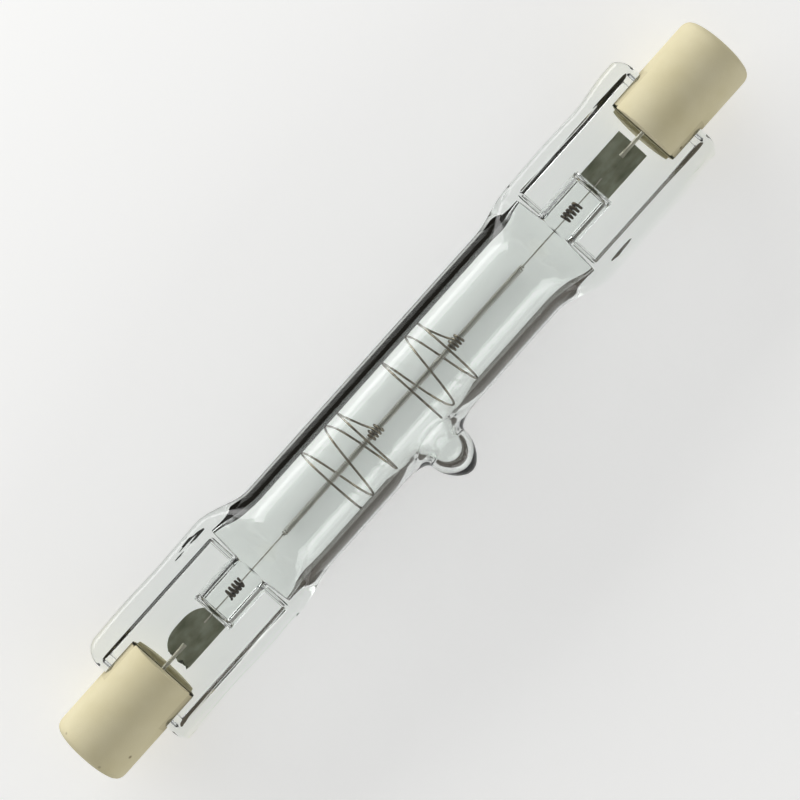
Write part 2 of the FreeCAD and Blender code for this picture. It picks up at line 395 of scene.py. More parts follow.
@dataclass(frozen=True)
class WorkedMetal:
    """Drawn, rolled or turned metal: fine marks of its making cross a bare surface."""

    name: str
    pale: str
    deep: str
    marks_mm: float
    stretch: tuple[float, float, float]
    roughness: float
    relief_mm: float = 0.004
    relief_strength: float = 0.4
    patches_mm: float = 2.0
    tone_range: tuple[float, float] = (0.7, 1.3)
    gloss_swing: float = 0.08

    def material(self) -> bpy.types.Material:
        """Returns the metal, whose tones and shallow relief follow marks stretched along its working."""
        material, tree = surface_tree(self.name)
        spot = add_node(tree, "ShaderNodeTexCoord", {}, {}).outputs["Object"]
        drawn = add_node(tree, "ShaderNodeMapping", {"Scale": self.stretch}, {"Vector": spot})
        fine = {"Scale": 1000.0 / self.marks_mm, "Detail": 3.0}
        marks = add_node(tree, Shape.GRAIN.value, fine, {"Vector": drawn.outputs[0]})
        wide = {"Scale": 1000.0 / self.patches_mm}
        patches = add_node(tree, Shape.GRAIN.value, wide, {"Vector": spot})
        both = add_node(tree, "ShaderNodeMath", {}, {0: marks.outputs[0], 1: patches.outputs[0]})
        low, high = self.tone_range
        span = {"From Min": low, "From Max": high}
        tone = add_node(tree, "ShaderNodeMapRange", span, {"Value": both.outputs[0]})
        colour = add_node(
            tree,
            "ShaderNodeMix",
            {"data_type": "RGBA", 6: linear(self.pale), 7: linear(self.deep)},
            {0: tone.outputs[0]},
        )
        gloss = add_node(
            tree,
            "ShaderNodeMapRange",
            {"To Min": self.roughness - self.gloss_swing, "To Max": self.roughness + self.gloss_swing},
            {"Value": marks.outputs[0]},
        )
        relief = {"Strength": self.relief_strength, "Distance": self.relief_mm * MM}
        bump = add_node(tree, "ShaderNodeBump", relief, {"Height": marks.outputs[0]})
        shader = add_node(
            tree,
            "ShaderNodeBsdfPrincipled",
            {"Metallic": 1.0},
            {"Base Color": colour.outputs[2], "Roughness": gloss.outputs[0], "Normal": bump.outputs[0]},
        )
        add_node(tree, "ShaderNodeOutputMaterial", {}, {"Surface": shader.outputs[0]})
        return material


# Steatite: a cream pressed ceramic, dry to the eye, with fine grit and rare dark specks.
STEATITE = FiredCeramic("pressed_steatite", "#EAE2C2", "#D3C89C", "#6E5F3C", 0.12, 0.02, 0.75)
# Cap cement: a cream-brown filled silicate paste, coarser and duller than the cap.
CEMENT = FiredCeramic("silicate_cement", "#E0D7B6", "#C6BB93", "#6B5E42", 0.3, 0.08, 0.9)
# Tungsten: drawn wire, grey with a dull sheen from lubricant burnt off in the furnace.
TUNGSTEN = WorkedMetal("drawn_tungsten", "#DAD6CC", "#AEA99D", 0.2, (0.3, 1.0, 1.0), 0.45)
# Support wire: the same metal, darkened by the coil's heat.
HEATED_TUNGSTEN = WorkedMetal("heated_tungsten", "#AFA795", "#625745", 0.3, (1.0, 1.0, 1.0), 0.4)
# Molybdenum foil: rolled and etched, dull green-grey with faint streaks along it and paler patches.
MOLYBDENUM = WorkedMetal("rolled_molybdenum", "#B2B5A0", "#83876F", 0.7, (0.4, 1.0, 1.0), 0.5)
# Molybdenum wire: drawn, paler than the foil, with faint streaks along it.
MOLYBDENUM_WIRE = WorkedMetal("drawn_molybdenum", "#E6E3D4", "#B5B2A0", 0.3, (0.2, 1.0, 1.0), 0.4)
# Sleeve wire: molybdenum, coloured a dark brown all over.
DARK_BROWN_MOLYBDENUM = WorkedMetal("dark_brown_molybdenum", "#6E6352", "#352D24", 0.3, (1.0, 1.0, 1.0), 0.5)
# Nickel contact: turned and then tumbled, bright, with a fine grain that runs no one way.
NICKEL = WorkedMetal("turned_nickel", "#BDB8AB", "#8C877A", 0.15, (1.0, 1.0, 1.0), 0.32)


@dataclass(frozen=True)
class TipWall:
    """One wall of the exhaust tip: its neck's radius, and how far neck and point are from the lamp's axis.

    The flare is the half length of its foot along X and along Z.
    """

    neck_radius: float
    neck_end: float
    reach: float
    flare: tuple[float, float]


@dataclass
class QuartzEnvelope:
    """The quartz: a round tube, two shoulders, two pressed ends with a thin web, and the exhaust tip."""

    tube_radius: float = 4.64 * MM
    bore_radius: float = 3.72 * MM
    tube_end: float = 14.0 * MM
    press_start: float = 18.8 * MM
    press_end: float = 33.0 * MM
    press_half_width: float = 5.7 * MM
    press_half_height: float = 1.6 * MM
    press_shift: float = 0.3 * MM
    # Where the shift starts to fade on the right, and over what length.
    shift_fade: tuple[float, float] = (27.0 * MM, 4.0 * MM)
    # The wave in the press's edges: its depth, its radians for each mm, its start and each side's lag.
    waver: float = 0.07 * MM
    waver_rate: float = 0.74
    waver_start: float = 1.44
    waver_lag: float = 1.22
    bead_radius: float = 0.8 * MM
    corner_radius: float = 2.0 * MM
    corner_overhang: float = 0.4 * MM
    web_half_height: float = 0.95 * MM
    web_half_width: float = 4.16 * MM
    wall_slope: float = 0.42 * MM
    wall_lean: float = 0.17 * MM
    web_start: float = 0.5 * MM
    # The inner columns reach this share of the slope past the web, and stay this far off the edge.
    wall_share: float = 0.8
    edge_margin: float = 0.45 * MM
    # Where the groove starts to run out along X and Y, and over what length.
    run_out: tuple[float, float] = (31.3 * MM, 1.3 * MM)
    run_out_side: tuple[float, float] = (1.7 * MM, 1.3 * MM)
    boss_end: float = 23.6 * MM
    boss_half_width: float = 1.75 * MM
    boss_half_height: float = 1.45 * MM
    boss_slope: float = 0.2 * MM
    boss_run: float = 0.5 * MM
    # Each pinch's place along X and Y and its length along X, in mm.
    pinches: tuple = ((18.1, 4.95, 0.45), (30.6, -5.2, 0.5), (21.4, -5.0, 0.4), (-20.6, 5.1, 1.1))
    pinch_width: float = 0.13 * MM
    pinch_depth: float = 0.2 * MM
    cavity_half_width: float = 4.3 * MM
    cavity_half_height: float = 0.35 * MM
    cavity_end: float = 18.7 * MM
    # How far before the cavity's end it starts to narrow, and over what length.
    narrowing: tuple[float, float] = (0.25 * MM, 0.35 * MM)
    pocket_half_width: float = 1.74 * MM
    pocket_half_height: float = 0.62 * MM
    pocket_bevel: float = 0.3 * MM
    pocket_bevel_height: float = 0.218 * MM
    pocket_end: float = 23.5 * MM
    pocket_round: float = 0.45 * MM
    # The share of its round end's length after which the pocket closes no further.
    pocket_closed: float = 0.98
    tip_offset: float = -0.45 * MM
    tip_fullness: float = 0.55
    outer_tip: TipWall = TipWall(2.05 * MM, 5.4 * MM, 8.2 * MM, (4.3 * MM, 3.4 * MM))
    inner_tip: TipWall = TipWall(1.3 * MM, 5.4 * MM, 6.9 * MM, (2.7 * MM, 2.2 * MM))
    foot_rings: int = 4
    flare_rings: int = 13
    drop_rings: int = 18
    window_reach: float = 5.0 * MM
    window_slack: float = 0.01 * MM
    window_turn: float = math.radians(56.0)
    # The share of a quarter's width, by the cosine of the turn, that holds the inner columns.
    inner_share: float = 0.78
    tube_row_count: int = 7
    tip_row_count: int = 41
    # Where each span of rows past the tube ends, and how many rows it has.
    outer_rows: tuple = (
        (press_start, 26),
        (19.35 * MM, 13),
        (23.35 * MM, 7),
        (23.65 * MM, 10),
        (32.2 * MM, 15),
    )
    inner_rows: tuple = ((18.4 * MM, 24), (18.85 * MM, 15), (pocket_end - pocket_round, 7))
    # The last rows follow a quarter circle: the turn where they start or end, and how many they are.
    corner_rows: tuple[float, int] = (37.0, 15)
    pocket_rows: tuple[float, int] = (78.0, 8)
    # Where each span of columns ends in a quarter turn, in degrees from +Y, and how many columns it has.
    outer_columns: tuple = ((38.0, 17), (48.5, 22), (69.0, 10), (73.5, 12), (90.0, 8))
    inner_columns: tuple = ((34.1, 14), (90.0, 22))
    sharp_above: float = 55.0
    finish: FusedQuartz = field(default_factory=FusedQuartz)

    def tube_rows(self) -> np.ndarray:
        """Returns the places along X of the rows on the round tube, close together round the tip."""
        low, high = self.tip_offset - self.window_reach, self.tip_offset + self.window_reach
        few, many = self.tube_row_count, self.tip_row_count
        spans = [(-self.tube_end, low, few), (low, high, many), (high, self.tube_end, few)]
        return np.concatenate([np.linspace(*span)[:-1] for span in spans] + [[self.tube_end]])

    def rows(self, spans: tuple, last: np.ndarray) -> np.ndarray:
        """Places the rows along X: the round tube's, and past each of its ends the spans and the last rows.

        Args:
            spans: where each span past the tube ends, and how many rows it has.
            last: the rows past the spans.

        Returns:
            The place of each row.
        """
        starts = (self.tube_end, *(end for end, _ in spans))
        past = [np.linspace(start, end, count + 1)[1:] for start, (end, count) in zip(starts, spans)]
        half = np.concatenate([*past, last])
        return np.concatenate([-half[::-1], self.tube_rows(), half])

    def columns(self, spans: tuple) -> np.ndarray:
        """Spreads the columns round the lamp.

        Args:
            spans: where each span of a quarter turn ends, in degrees from +Y, and how many columns it has.

        Returns:
            The turn of each column, the quarter mirrored into the other three.
        """
        starts = (0.0, *(end for end, _ in spans))
        pairs = zip(starts, spans)
        parts = [np.linspace(start, end, count, endpoint=False) for start, (end, count) in pairs]
        quarter = np.concatenate(parts)
        half = np.radians(np.concatenate([quarter, [90.0], 180.0 - quarter[:0:-1]]))
        return np.concatenate([half, half + math.pi])

    def lean(self, x: np.ndarray) -> np.ndarray:
        """Gives the share of the shift that the jaws made: to -Y on the right, and to +Y on the left."""
        return -np.sign(x) * (1 - ease((x - self.shift_fade[0]) / self.shift_fade[1]))

    def reach(self, x: np.ndarray, side: np.ndarray) -> np.ndarray:
        """Gives how far the press reaches to one side, down to the quarter circle at its corner.

        A slow wave takes up to the waver off each edge.

        Args:
            x: where along the lamp.
            side: the sign of the side's Y.

        Returns:
            The half width on that side.
        """
        wave = 0.5 + 0.5 * np.sin(self.waver_rate * x / MM + self.waver_start - self.waver_lag * side)
        edge = self.press_half_width + side * self.press_shift * self.lean(x) - self.waver * wave
        middle = self.press_end - self.corner_radius
        fall = np.sqrt(np.maximum(self.corner_radius ** 2 - np.maximum(np.abs(x) - middle, 0) ** 2, 0))
        return np.minimum(edge, self.press_half_width + self.corner_overhang - self.corner_radius + fall)

    def corner_gap(self, x: np.ndarray, y: np.ndarray) -> np.ndarray:
        """Measures to the quarter circle at the press's corner. The end under the caps doesn't count.

        Args:
            x: where along the lamp.
            y: the distance from the middle.

        Returns:
            The distance from the point to the circle.
        """
        side = self.press_half_width + self.corner_overhang - self.corner_radius
        bare = ease((y - self.run_out_side[0]) / self.run_out_side[1])
        past_x = bare * np.maximum(np.abs(x) - self.press_end + self.corner_radius, 0)
        return self.corner_radius - np.hypot(past_x, np.maximum(y - side, 0))

    def outline(self, x: np.ndarray, turn: np.ndarray, radius: float, reach: np.ndarray, near: np.ndarray,
                half_height: float, corner: float) -> tuple[np.ndarray, np.ndarray]:
        """Blends a circle with a flat bar that has round edges, point by point at the same turn.

        The bar's points go by the cosine of their turn: its inner share spreads them from the middle to the
        near distance, and the rest from there to the edge.

        Args:
            x: where along the lamp.
            turn: the columns' turns.
            radius: the circle's radius.
            reach: the bar's half width on the column's side.
            near: the distance from the middle that the inner share of the points covers.
            half_height: the bar's half height.
            corner: the radius of the bar's edges.

        Returns:
            Y and the height over the middle plane.
        """
        part = ease((np.abs(x) - self.tube_end) / (self.press_start - self.tube_end))
        level = np.abs(np.cos(turn))
        inner = near * level / self.inner_share
        outer = near + (reach - near) * ((level - self.inner_share) / (1 - self.inner_share))
        y_bar = np.where(level < self.inner_share, inner, outer)
        into = np.maximum(corner - np.minimum(reach - y_bar, self.corner_gap(x, y_bar)), 0)
        z_bar = half_height - corner + np.sqrt(np.maximum(corner ** 2 - into ** 2, 0))
        z_bar = np.where(np.abs(np.sin(turn)) < IN_PLANE, 0, z_bar)
        y = (1 - part) * radius * level + part * y_bar
        return y * np.sign(np.cos(turn)), (1 - part) * radius * np.abs(np.sin(turn)) + part * z_bar

    def groove(self, x: np.ndarray, y: np.ndarray) -> np.ndarray:
        """Gives how deep the press jaw sank below the beads.

        The depth eases in across the web's walls and at its start, and a share of it is left on the boss.
        The wall is steeper on the side that the glass was squeezed to. Beside the caps, the depth eases out
        before the press's corners.

        Args:
            x: where along the lamp.
            y: where across it.

        Returns:
            The depth.
        """
        slope = self.wall_slope - self.wall_lean * np.sign(y) * self.lean(x)
        across = 1 - ease((np.abs(y) - self.web_half_width) / slope + 0.5)
        beside = ease((np.abs(y) - self.boss_half_width) / self.boss_slope)
        run = self.wall_slope + self.boss_run * (1 - beside)
        start = ease((np.abs(x) - self.press_start - self.web_start + self.wall_slope) / run)
        beyond = ease((np.abs(x) - self.boss_end + self.boss_slope) / self.boss_slope)
        stop = ease((np.abs(x) - self.run_out[0]) / self.run_out[1])
        stop = stop * ease((np.abs(y) - self.run_out_side[0]) / self.run_out_side[1])
        full = self.press_half_height - self.web_half_height
        left = (self.press_half_height - self.boss_half_height) / full
        return full * (1 - stop) * across * start * (left + (1 - left) * np.maximum(beside, beyond))

    def pinch(self, x: np.ndarray, y: np.ndarray) -> np.ndarray:
        """Gives the depth of the short troughs in the beads, each a bell curve along X and across.

        Args:
            x: where along the lamp.
            y: where across it.

        Returns:
            The depth.
        """
        depth = 0.0
        for along, across, length in self.pinches:
            far = ((x / MM - along) / length) ** 2 + ((y - across * MM) / self.pinch_width) ** 2
            depth = depth + self.pinch_depth * np.exp(-far)
        return depth

    def outer_points(self, x: np.ndarray, turn: np.ndarray) -> np.ndarray:
        """Works out the outside: the blended outline, less what the jaw sank into it.

        Args:
            x: the place of each row.
            turn: the turn of each column.

        Returns:
            The points, by row and column.
        """
        x, turn = x[:, None], turn[None, :]
        reach = self.reach(x, np.sign(np.cos(turn)))
        near = self.web_half_width + self.wall_share * self.wall_slope
        near = np.minimum(near, reach - self.edge_margin)
        half_height = self.press_half_height
        y, height = self.outline(x, turn, self.tube_radius, reach, near, half_height, self.bead_radius)
        height = height - self.groove(x, y) - self.pinch(x, y)
        return np.stack([np.broadcast_to(x, y.shape), y, height * np.sign(np.sin(turn))], axis=-1)

    def bore_points(self, x: np.ndarray, turn: np.ndarray) -> np.ndarray:
        """Works out the gas space.

        It flattens with the shoulder to a wide slit, which narrows at its end to the low pocket round the
        filament's leg. A parabola crowns the pocket between its bevels, and it closes as an ellipse does.

        Args:
            x: the place of each row.
            turn: the turn of each column.

        Returns:
            The points, by row and column.
        """
        x, turn = x[:, None], turn[None, :]
        high = self.cavity_half_height
        reach = self.cavity_half_width - np.sign(np.cos(turn)) * np.sign(x) * self.press_shift
        y, height = self.outline(x, turn, self.bore_radius, reach, self.inner_share * reach, high, high)
        narrow = ease((np.abs(x) - self.cavity_end + self.narrowing[0]) / self.narrowing[1])
        cap = (np.abs(x) - self.pocket_end + self.pocket_round) / self.pocket_round
        cap = np.clip(cap, 0, self.pocket_closed)
        close = np.sqrt(1 - cap ** 2)
        across = self.pocket_half_width * np.cos(turn)
        inner = self.pocket_half_width - self.pocket_bevel
        crown = (self.pocket_half_height - self.pocket_bevel_height) * (1 - (across / inner) ** 2)
        bevel = (self.pocket_half_width - np.abs(across)) / self.pocket_bevel
        rise = np.maximum(crown, 0) + self.pocket_bevel_height * np.minimum(bevel, 1)
        y = ((1 - narrow) * y + narrow * across) * close
        height = ((1 - narrow) * height + narrow * rise) * close
        return np.stack([np.broadcast_to(x, y.shape), y, height * np.sign(np.sin(turn))], axis=-1)

    def tip_rings(self, rim: np.ndarray, tube: float, tip: TipWall) -> np.ndarray:
        """Works out the exhaust tip as rings that go from a window's rim in the tube to the tip's point.

        The first rings stay on the tube and turn the rim into an oval. A quarter of an ellipse then carries
        each up the flare, where the tube's own curve fades out. The last rings follow a power of a cosine.

        Args:
            rim: the window's points in order.
            tube: the radius of the tube that the tip stands on.
            tip: the tip's sizes.

        Returns:
            The points of the rings, without the rim, one ring per row.
        """
        plan = np.stack([rim[:, 0] - self.tip_offset, rim[:, 2]], axis=-1)
        bearing = np.arctan2(plan[:, 1] / tip.flare[1], plan[:, 0] / tip.flare[0])
        oval = np.stack([tip.flare[0] * np.cos(bearing), tip.flare[1] * np.sin(bearing)], axis=-1)
        spread = np.linspace(0, 1, self.foot_rings + 1)[1:, None, None]
        on_tube = plan + (oval - plan) * spread
        lift = np.linspace(math.pi / 2, 0, self.flare_rings + 1)[1:, None, None]
        at_neck = oval / np.linalg.norm(oval, axis=1, keepdims=True) * tip.neck_radius
        on_flare = at_neck + (oval - at_neck) * (1 - np.cos(lift))
        fall = np.linspace(0, 1, self.drop_rings + 2)[1:-1, None, None]
        on_drop = at_neck * np.cos(math.pi / 2 * fall) ** self.tip_fullness
        tube_down = np.sqrt(np.maximum(tube ** 2 - np.concatenate([on_tube, on_flare])[..., 1] ** 2, 0))
        rise = np.concatenate([np.zeros(self.foot_rings), 1 - np.sin(lift[:, 0, 0])])[:, None]
        down = tube_down + (tip.neck_end - tube_down) * rise
        drop_down = tip.neck_end + (tip.reach - tip.neck_end) * fall[..., 0]
        all_down = np.concatenate([down, np.broadcast_to(drop_down, on_drop.shape[:2])])
        flat = np.concatenate([on_tube, on_flare, on_drop])
        return np.stack([flat[..., 0] + self.tip_offset, -all_down, flat[..., 1]], axis=-1)

    def wall(self, points: np.ndarray, turn: np.ndarray, tube: float,
             tip: TipWall) -> tuple[np.ndarray, list]:
        """Joins one wall of the quartz: its grid with a window, the tip sewn into it, and closed ends.

        Args:
            points: the grid, by row and column.
            turn: the columns' turns.
            tube: the radius of the tube that the tip stands on.
            tip: the tip's sizes.

        Returns:
            The points and the faces, which look away from the lamp's axis.
        """
        rows, columns = points.shape[:2]
        x = points[:, 0, 0]
        in_rows = np.flatnonzero(np.abs(x - self.tip_offset) < self.window_reach + self.window_slack)
        first_row, last_row = in_rows[0], in_rows[-1]
        first = int(np.searchsorted(turn, math.pi - self.window_turn))
        last = columns - first
        quads = grid_faces(rows, columns)
        keep = np.ones(quads.shape[:2], bool)
        keep[first_row:last_row, first:last] = False
        row, column = np.arange(first_row, last_row), np.arange(first, last)
        rim = np.concatenate([
            first_row * columns + column,
            row * columns + last,
            last_row * columns + column[::-1] + 1,
            row[::-1] * columns + columns + first,
        ])
        flat = points.reshape(-1, 3)
        rings = self.tip_rings(flat[rim], tube, tip)
        count = len(rim)
        patch = np.concatenate([rim[None], len(flat) + np.arange(len(rings) * count).reshape(-1, count)])
        after = np.roll(patch, -1, axis=1)
        sewn = np.stack([patch[:-1], after[:-1], after[1:], patch[1:]], axis=-1).reshape(-1, 4)
        point = np.array([[self.tip_offset, -tip.reach, 0.0]])
        everything = np.concatenate([flat, rings.reshape(-1, 3), point])
        faces = quads[keep].tolist() + sewn.tolist() + ring_fan(patch[-1], len(everything) - 1).tolist()
        start = np.arange(columns)
        faces += [start[::-1].tolist(), (start + (rows - 1) * columns).tolist()]
        return everything, faces

    def outside(self) -> tuple[np.ndarray, list]:
        """Returns the outer wall's points and faces."""
        start, count = self.corner_rows
        turned = np.radians(np.linspace(start, 90, count + 1))[1:]
        last = self.press_end - self.corner_radius + self.corner_radius * np.sin(turned)
        x, turn = self.rows(self.outer_rows, last), self.columns(self.outer_columns)
        return self.wall(self.outer_points(x, turn), turn, self.tube_radius, self.outer_tip)

    def inside(self) -> tuple[np.ndarray, list]:
        """Returns the gas space's points and faces, turned to look into the gas."""
        end, count = self.pocket_rows
        turned = np.radians(np.linspace(0, end, count + 1))[1:]
        last = self.pocket_end - self.pocket_round + self.pocket_round * np.sin(turned)
        x, turn = self.rows(self.inner_rows, last), self.columns(self.inner_columns)
        points, faces = self.wall(self.bore_points(x, turn), turn, self.bore_radius, self.inner_tip)
        return points, [face[::-1] for face in faces]

    def build(self) -> None:
        """Makes the quartz as one piece, its outer and its inner wall together."""
        outer, outer_faces = self.outside()
        inner, inner_faces = self.inside()
        shifted = [[number + len(outer) for number in face] for face in inner_faces]
        points = np.concatenate([outer, inner])
        glass = make_piece("quartz_glass", points, outer_faces + shifted, self.sharp_above)
        dress(glass, self.finish.material(), "fused_quartz", "quartz_envelope")


@dataclass
class Filament:
    """The coiled filament: one wire, wound fine along the tube's axis, with a straight leg at each end.

    A short sleeve of thicker wire lies round each leg, in the pocket of the press.
    """

    coil_end: float = 14.9 * MM
    coil_radius: float = 0.275 * MM
    wire_radius: float = 0.05 * MM
    pitch: float = 0.17 * MM
    leg_radius: float = 0.06 * MM
    leg_end: float = 24.6 * MM
    leg_height: float = -0.085 * MM
    eased_turns: float = 2.0
    points_per_turn: int = 14
    leg_points: int = 11
    sides: int = 6
    sleeve: tuple[float, float] = (20.0 * MM, 21.65 * MM)
    sleeve_radius: float = 0.44 * MM
    sleeve_wire: float = 0.12 * MM
    sleeve_pitch: float = 0.37 * MM
    sleeve_points_per_turn: int = 28
    sleeve_sides: int = 8
    finish: WorkedMetal = TUNGSTEN
    sleeve_finish: WorkedMetal = DARK_BROWN_MOLYBDENUM

    def build(self) -> None:
        """Winds the wire: its distance from the axis eases in over two turns, and its angle follows X."""
        count = int(2 * self.coil_end / self.pitch * self.points_per_turn)
        leg = np.linspace(self.leg_end, self.coil_end, self.leg_points + 1)[:-1]
        x = np.concatenate([-leg, np.linspace(-self.coil_end, self.coil_end, count), leg[::-1]])
        turn = TAU * np.clip(x, -self.coil_end, self.coil_end) / self.pitch
        wound = ease((self.coil_end - np.abs(x)) / (self.eased_turns * self.pitch))
        reach = (self.coil_radius - self.wire_radius) * wound
        outward = spokes(turn)
        path = outward * reach[:, None] + np.stack([x, 0 * x, self.leg_height * (1 - wound)], axis=-1)
        radius = np.where(wound > 0, self.wire_radius, self.leg_radius)
        points, faces = wire_mesh(path, outward, radius, self.sides)
        dress(make_piece("coiled_filament", points, faces), self.finish.material(), "tungsten", "filament")
        for end in End:
            sleeve = make_piece(f"leg_sleeve_{end.word}", *self.sleeve_mesh(end))
            dress(sleeve, self.sleeve_finish.material(), "molybdenum")

    def sleeve_mesh(self, end: End) -> tuple[np.ndarray, list]:
        """Winds one sleeve: a plain screw line round the axis, from the sleeve's start to its end.

        Args:
            end: the lamp's end that the sleeve is on.

        Returns:
            The points and the faces.
        """
        start, stop = self.sleeve
        count = int((stop - start) / self.sleeve_pitch * self.sleeve_points_per_turn)
        x = np.linspace(start, stop, count) * end.value
        outward = spokes(TAU * x / self.sleeve_pitch)
        path = outward * self.sleeve_radius + on_axis(x)
        return wire_mesh(path, outward, self.sleeve_wire, self.sleeve_sides)


@dataclass
class SpiralSupport:
    """One support: tight turns grip the coil, and wide turns back along it centre it in the tube."""

    number: int
    grip_middle: float
    wire_radius: float = 0.095 * MM
    grip_radius: float = 0.445 * MM
    grip_turns: float = 3.5
    grip_pitch: float = 0.33 * MM
    flare_turns: float = 0.35
    flare_reach: float = 1.5 * MM
    loop_turns: float = 2.5
    closed_turns: float = 0.3
    loop_reach: float = 4.5 * MM
    loop_radius: float = 3.33 * MM
    points_per_turn: int = 44
    sides: int = 12
    finish: WorkedMetal = HEATED_TUNGSTEN

    def build(self) -> None:
        """Bends the wire: its radius and its way along X ease from the grip to the loops as it turns."""
        loops_from = self.grip_turns + self.flare_turns
        turns = loops_from + self.loop_turns
        turn = np.linspace(0, turns, int(turns * self.points_per_turn))
        flare = ease((turn - self.grip_turns) / self.flare_turns)
        back = ease((turn - loops_from - self.closed_turns) / (self.loop_turns - 2 * self.closed_turns))
        start = self.grip_middle - self.grip_turns * self.grip_pitch / 2
        gripped = np.minimum(turn, self.grip_turns) * self.grip_pitch
        x = start + gripped - self.flare_reach * flare - self.loop_reach * back
        radius = self.grip_radius + (self.loop_radius - self.grip_radius) * flare
        outward = spokes(TAU * (turn - loops_from))
        path = outward * radius[:, None] + on_axis(x)
        points, faces = wire_mesh(path, outward, self.wire_radius, self.sides)
        piece = make_piece(f"centring_spiral_{self.number}", points, faces)
        dress(piece, self.finish.material(), "tungsten", f"support_spiral_{self.number}")


@dataclass
class SealingFoil:
    """The foil in one pressed end: thin, slightly crumpled, and torn a little at its outer end."""

    end: End
    inner_end: float = 23.6 * MM
    outer_end: float = 28.5 * MM
    half_width: float = 1.55 * MM
    top: float = -0.125 * MM
    thickness: float = 0.04 * MM
    crumple: float = 0.025 * MM
    # Each crumple wave's radians along the foil and across half of it.
    crumple_waves: tuple = ((5.3, 1.7), (-2.0, 4.1))
    left_tear: float = 0.3 * MM
    right_tear: float = 0.03 * MM
    left_taper: float = 0.5
    # Each tear wave's radians across half the foil, its start and its share of the depth.
    tear_waves: tuple = ((9.0, 1.0, 1.0), (23.0, 0.0, 0.6), (41.0, 2.0, 0.3))
    # Where the weld's dent lies along X and Y.
    weld: tuple[float, float] = (26.3 * MM, -0.15 * MM)
    weld_radius: float = 0.28 * MM
    weld_depth: float = 0.09 * MM
    rows: int = 60
    columns: int = 81
    finish: WorkedMetal = MOLYBDENUM

    def build(self) -> None:
        """Lays the foil: two waves across each other crumple it, and three waves make its torn edge.

        The tear grows with the sixth power of the way out. The left-hand foil is torn deeper. It is also
        narrower towards its ends on one side, by the cube of the distance from its middle.
        """
        along = np.linspace(0, 1, self.rows)[:, None]
        across = np.linspace(-1, 1, self.columns)[None, :]
        left = self.end is End.LEFT
        tear, taper = (self.left_tear, self.left_taper) if left else (self.right_tear, 0.0)
        torn = tear * sum(share * np.sin(rate * across + start) for rate, start, share in self.tear_waves)
        x = self.inner_end + (self.outer_end - self.inner_end) * along - np.abs(torn) * along ** 6
        y = self.half_width * across * (1 - taper * (across < 0) * np.abs(2 * along - 1) ** 3)
        first, second = (rate * along + lag * across for rate, lag in self.crumple_waves)
        wave = np.sin(first) * np.cos(second)
        spot = ((x - self.weld[0]) ** 2 + (y - self.weld[1]) ** 2) / self.weld_radius ** 2
        z = self.top - self.thickness / 2 + self.crumple * wave - self.weld_depth * np.exp(-spot)
        x, y, z = (np.broadcast_to(part, z.shape) for part in (x * self.end.value, y * self.end.value, z))
        over = np.stack([x, y, z + self.thickness / 2], axis=-1)
        under = np.stack([x, y, z - self.thickness / 2], axis=-1)[:, ::-1]
        points = np.concatenate([over, under], axis=1)
        rows, columns = points.shape[:2]
        faces = grid_faces(rows, columns).reshape(-1, 4)[:, ::-1].tolist()
        start = np.arange(columns)
        faces += [start.tolist(), (start + (rows - 1) * columns)[::-1].tolist()]
        piece = make_piece(f"seal_foil_{self.end.word}", points, faces)
        dress(piece, self.finish.material(), "molybdenum", f"sealing_foil_{self.end.word}")


@dataclass
class OuterLead:
    """The wire from the foil to the back of the contact."""

    end: End
    start: float = 27.0 * MM
    finish_at: float = 36.83 * MM
    radius: float = 0.175 * MM
    flat_length: float = 1.3 * MM
    # By what share the weld stretches the wire along X, Y and Z.
    squeeze: tuple[float, float, float] = (0.0, 0.25, -0.3)
    rows: int = 60
    sides: int = 14
    finish: WorkedMetal = MOLYBDENUM_WIRE

    def build(self) -> None:
        """Draws the wire, which the weld has squeezed a little flatter and wider over the foil."""
        x = np.linspace(self.start, self.finish_at, self.rows) * self.end.value
        outward = np.stack([0 * x, 0 * x, 0 * x + 1], axis=-1)
        points, faces = wire_mesh(on_axis(x), outward, self.radius, self.sides)
        squeezed = 1 - ease((np.abs(points[:, :1]) - self.start) / self.flat_length)
        points = points * (1 + squeezed * np.array(self.squeeze))
        piece = make_piece(f"lead_wire_{self.end.word}", points, faces)
        dress(piece, self.finish.material(), "molybdenum", f"outer_lead_{self.end.word}")


